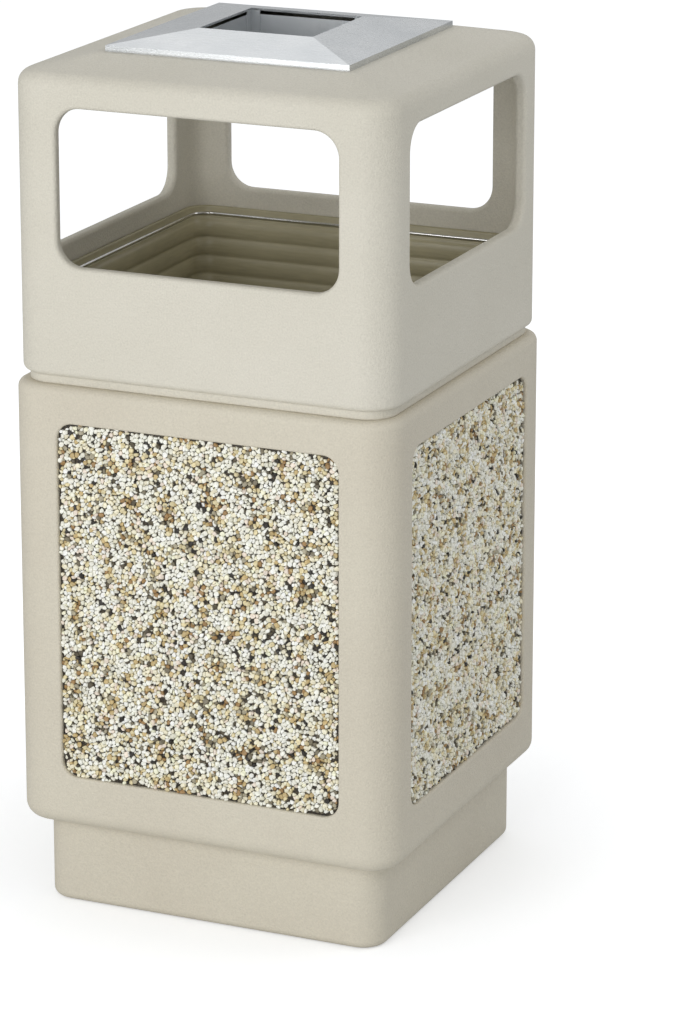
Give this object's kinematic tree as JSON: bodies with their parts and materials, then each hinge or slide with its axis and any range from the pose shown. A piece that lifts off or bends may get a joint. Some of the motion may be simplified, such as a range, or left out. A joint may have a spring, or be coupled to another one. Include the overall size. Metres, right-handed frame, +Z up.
{
  "type": "ashtray bin",
  "caption": "Square free-standing litter bin with stone panels on its sides, a hood with four windows, a lift-out liner and a square steel ash tray in its top.",
  "frame": {"origin": "centre of the plinth's underside, on the ground", "axes": "+Z up; -Y is the front, +X is the right side seen from the front"},
  "size_m": [0.4636, 0.4636, 0.9969],
  "materials": {
    "shell_plastic": "fine-grained moulded polyethylene, satin",
    "aggregate_stone": "exposed pebble aggregate in clear resin",
    "backing_plastic": "plain moulded board",
    "zinc_steel": "zinc plated",
    "insert_brass": "turned",
    "liner_plastic": "semi-gloss moulded polyethylene",
    "bright_wire": "bright drawn wire",
    "stainless": "fine brushed stainless sheet"
  },
  "bodies": {
    "body": {"body_shell": "shell_plastic", "panel_backing_front": "backing_plastic", "panel_backing_right": "backing_plastic", "panel_backing_back": "backing_plastic", "panel_backing_left": "backing_plastic", "panel_aggregate_front": "aggregate_stone", "panel_aggregate_right": "aggregate_stone", "panel_aggregate_back": "aggregate_stone", "panel_aggregate_left": "aggregate_stone", "panel_screws": "zinc_steel", "panel_washers": "zinc_steel", "panel_inserts": "insert_brass"},
    "liner": {"liner": "liner_plastic"},
    "bag_ring": {"bag_ring": "bright_wire"},
    "hood": {"hood_shell": "shell_plastic"},
    "ash_tray": {"ash_cover": "stainless", "ash_pan": "stainless", "ash_posts": "stainless"}
  },
  "joints": [
    {"name": "liner_lift", "type": "slide", "parent": "body", "child": "liner", "axis": [0, 0, 1], "range_m": [0, 0.66]},
    {"name": "bag_ring_lift", "type": "slide", "parent": "liner", "child": "bag_ring", "axis": [0, 0, 1], "range_m": [0, 0.1]},
    {"name": "hood_lift", "type": "slide", "parent": "liner", "child": "hood", "axis": [0, 0, 1], "range_m": [0, 0.2]},
    {"name": "ash_tray_lift", "type": "slide", "parent": "hood", "child": "ash_tray", "axis": [0, 0, 1], "range_m": [0, 0.09]}
  ]
}
